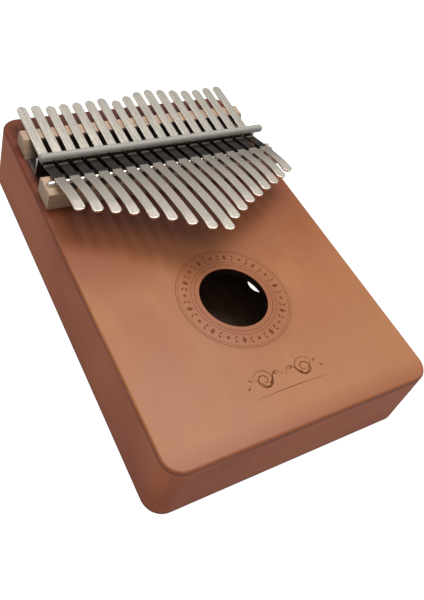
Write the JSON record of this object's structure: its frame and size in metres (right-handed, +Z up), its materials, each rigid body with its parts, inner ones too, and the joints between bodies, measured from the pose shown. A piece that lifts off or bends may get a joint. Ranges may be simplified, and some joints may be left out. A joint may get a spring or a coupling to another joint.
{
  "type": "mbira",
  "caption": "Box mbira: a hollow wooden box with a round sound hole, and spring-steel keys clamped over two wooden bridges by a steel bar.",
  "frame": {"origin": "centre of the box's footprint, on the surface that it rests on", "axes": "+X to the player's right across the keys, +Y along the box from the sound hole towards the key tails, +Z up out of the soundboard"},
  "size_m": [0.1234, 0.185, 0.0545],
  "materials": {
    "mahogany": "satin reddish brown stain",
    "maple": "bare, finely sanded",
    "spruce": "bare, inside the box",
    "spring_steel": "ground and satin polished",
    "bright_steel": "polished",
    "chrome_plate": "mirror plated sheet",
    "screw_steel": "plated"
  },
  "bodies": {
    "box": {"soundboard": "mahogany", "back_plate": "mahogany", "left_side": "mahogany", "right_side": "mahogany", "front_side": "mahogany", "rear_side": "mahogany", "anchor_block": "spruce", "front_bridge": "maple", "saddle_rod": "bright_steel", "rear_bridge": "maple", "bracket": "chrome_plate", "pressure_bar": "bright_steel", "bracket_screws": "screw_steel", "key_01_tail": "spring_steel", "key_02_tail": "spring_steel", "key_03_tail": "spring_steel", "key_04_tail": "spring_steel", "key_05_tail": "spring_steel", "key_06_tail": "spring_steel", "key_07_tail": "spring_steel", "key_08_tail": "spring_steel", "key_09_tail": "spring_steel", "key_10_tail": "spring_steel", "key_11_tail": "spring_steel", "key_12_tail": "spring_steel", "key_13_tail": "spring_steel", "key_14_tail": "spring_steel", "key_15_tail": "spring_steel", "key_16_tail": "spring_steel", "key_17_tail": "spring_steel"},
    "key_01": {"key_01_blade": "spring_steel"},
    "key_02": {"key_02_blade": "spring_steel"},
    "key_03": {"key_03_blade": "spring_steel"},
    "key_04": {"key_04_blade": "spring_steel"},
    "key_05": {"key_05_blade": "spring_steel"},
    "key_06": {"key_06_blade": "spring_steel"},
    "key_07": {"key_07_blade": "spring_steel"},
    "key_08": {"key_08_blade": "spring_steel"},
    "key_09": {"key_09_blade": "spring_steel"},
    "key_10": {"key_10_blade": "spring_steel"},
    "key_11": {"key_11_blade": "spring_steel"},
    "key_12": {"key_12_blade": "spring_steel"},
    "key_13": {"key_13_blade": "spring_steel"},
    "key_14": {"key_14_blade": "spring_steel"},
    "key_15": {"key_15_blade": "spring_steel"},
    "key_16": {"key_16_blade": "spring_steel"},
    "key_17": {"key_17_blade": "spring_steel"}
  },
  "joints": [
    {"name": "key_01_pluck", "type": "hinge", "parent": "box", "child": "key_01", "pos_m": [-0.05301, 0.0382, 0.0437], "axis": [1, 0, 0], "range_deg": [-4, 6], "stiffness_Nm_per_rad": 0.0119},
    {"name": "key_02_pluck", "type": "hinge", "parent": "box", "child": "key_02", "pos_m": [-0.04639, 0.0382, 0.0437], "axis": [1, 0, 0], "range_deg": [-4, 6], "stiffness_Nm_per_rad": 0.0176},
    {"name": "key_03_pluck", "type": "hinge", "parent": "box", "child": "key_03", "pos_m": [-0.03976, 0.0382, 0.0437], "axis": [1, 0, 0], "range_deg": [-4, 6], "stiffness_Nm_per_rad": 0.0245},
    {"name": "key_04_pluck", "type": "hinge", "parent": "box", "child": "key_04", "pos_m": [-0.03313, 0.0382, 0.0437], "axis": [1, 0, 0], "range_deg": [-4, 6], "stiffness_Nm_per_rad": 0.0334},
    {"name": "key_05_pluck", "type": "hinge", "parent": "box", "child": "key_05", "pos_m": [-0.02651, 0.0382, 0.0437], "axis": [1, 0, 0], "range_deg": [-4, 6], "stiffness_Nm_per_rad": 0.0511},
    {"name": "key_06_pluck", "type": "hinge", "parent": "box", "child": "key_06", "pos_m": [-0.01988, 0.0382, 0.0437], "axis": [1, 0, 0], "range_deg": [-4, 6], "stiffness_Nm_per_rad": 0.0673},
    {"name": "key_07_pluck", "type": "hinge", "parent": "box", "child": "key_07", "pos_m": [-0.01325, 0.0382, 0.0437], "axis": [1, 0, 0], "range_deg": [-4, 6], "stiffness_Nm_per_rad": 0.0966},
    {"name": "key_08_pluck", "type": "hinge", "parent": "box", "child": "key_08", "pos_m": [-0.00663, 0.0382, 0.0437], "axis": [1, 0, 0], "range_deg": [-4, 6], "stiffness_Nm_per_rad": 0.132},
    {"name": "key_09_pluck", "type": "hinge", "parent": "box", "child": "key_09", "pos_m": [0, 0.0382, 0.0437], "axis": [1, 0, 0], "range_deg": [-4, 6], "stiffness_Nm_per_rad": 0.154},
    {"name": "key_10_pluck", "type": "hinge", "parent": "box", "child": "key_10", "pos_m": [0.00663, 0.0382, 0.0437], "axis": [1, 0, 0], "range_deg": [-4, 6], "stiffness_Nm_per_rad": 0.107},
    {"name": "key_11_pluck", "type": "hinge", "parent": "box", "child": "key_11", "pos_m": [0.01325, 0.0382, 0.0437], "axis": [1, 0, 0], "range_deg": [-4, 6], "stiffness_Nm_per_rad": 0.0819},
    {"name": "key_12_pluck", "type": "hinge", "parent": "box", "child": "key_12", "pos_m": [0.01988, 0.0382, 0.0437], "axis": [1, 0, 0], "range_deg": [-4, 6], "stiffness_Nm_per_rad": 0.06},
    {"name": "key_13_pluck", "type": "hinge", "parent": "box", "child": "key_13", "pos_m": [0.02651, 0.0382, 0.0437], "axis": [1, 0, 0], "range_deg": [-4, 6], "stiffness_Nm_per_rad": 0.0466},
    {"name": "key_14_pluck", "type": "hinge", "parent": "box", "child": "key_14", "pos_m": [0.03313, 0.0382, 0.0437], "axis": [1, 0, 0], "range_deg": [-4, 6], "stiffness_Nm_per_rad": 0.0341},
    {"name": "key_15_pluck", "type": "hinge", "parent": "box", "child": "key_15", "pos_m": [0.03976, 0.0382, 0.0437], "axis": [1, 0, 0], "range_deg": [-4, 6], "stiffness_Nm_per_rad": 0.0251},
    {"name": "key_16_pluck", "type": "hinge", "parent": "box", "child": "key_16", "pos_m": [0.04639, 0.0382, 0.0437], "axis": [1, 0, 0], "range_deg": [-4, 6], "stiffness_Nm_per_rad": 0.0174},
    {"name": "key_17_pluck", "type": "hinge", "parent": "box", "child": "key_17", "pos_m": [0.05301, 0.0382, 0.0437], "axis": [1, 0, 0], "range_deg": [-4, 6], "stiffness_Nm_per_rad": 0.0105}
  ]
}
